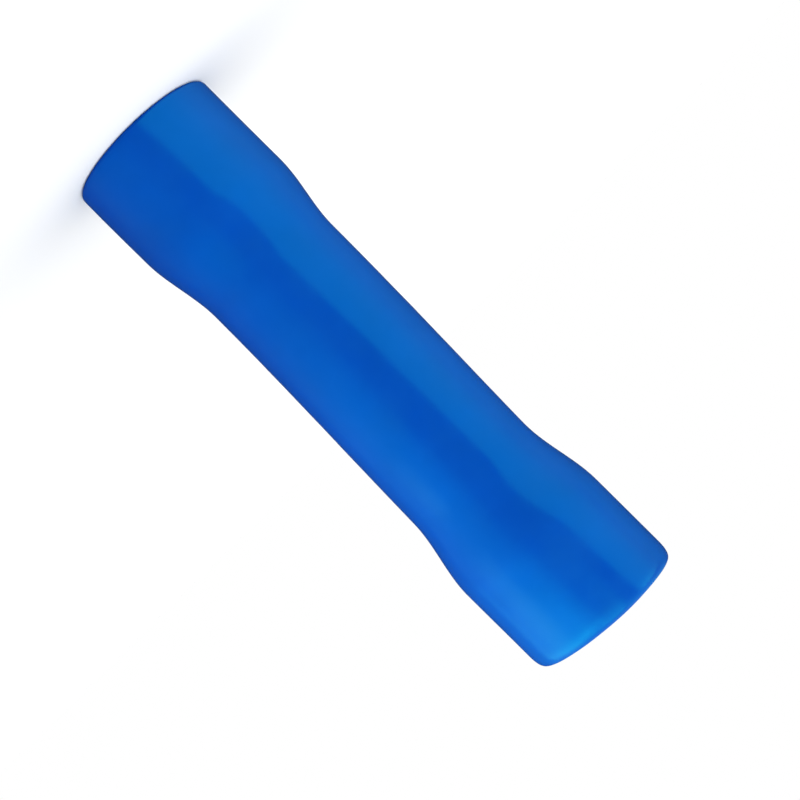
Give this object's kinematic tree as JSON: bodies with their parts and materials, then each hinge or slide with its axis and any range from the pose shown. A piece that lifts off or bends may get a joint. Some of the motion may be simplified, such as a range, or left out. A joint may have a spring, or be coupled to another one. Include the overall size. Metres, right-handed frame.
{
  "type": "butt splice connector",
  "caption": "Insulated butt splice: a tinned copper crimp barrel inside a blue PVC sleeve with a necked waist and a wider mouth at each end; joins two wires end to end.",
  "frame": {"origin": "centre of the lower rim, on the surface that the part stands on", "axes": "+Z along the wire axis, from the lower mouth to the upper mouth; X and Y are free, because the part is round"},
  "size_m": [0.0064, 0.0064, 0.025],
  "materials": {
    "blue_pvc": "satin opaque moulded PVC",
    "tinned_copper": "bright tin plate over copper, slightly dulled"
  },
  "bodies": {
    "root": {"insulating_sleeve": "blue_pvc", "crimp_barrel": "tinned_copper"}
  },
  "joints": []
}
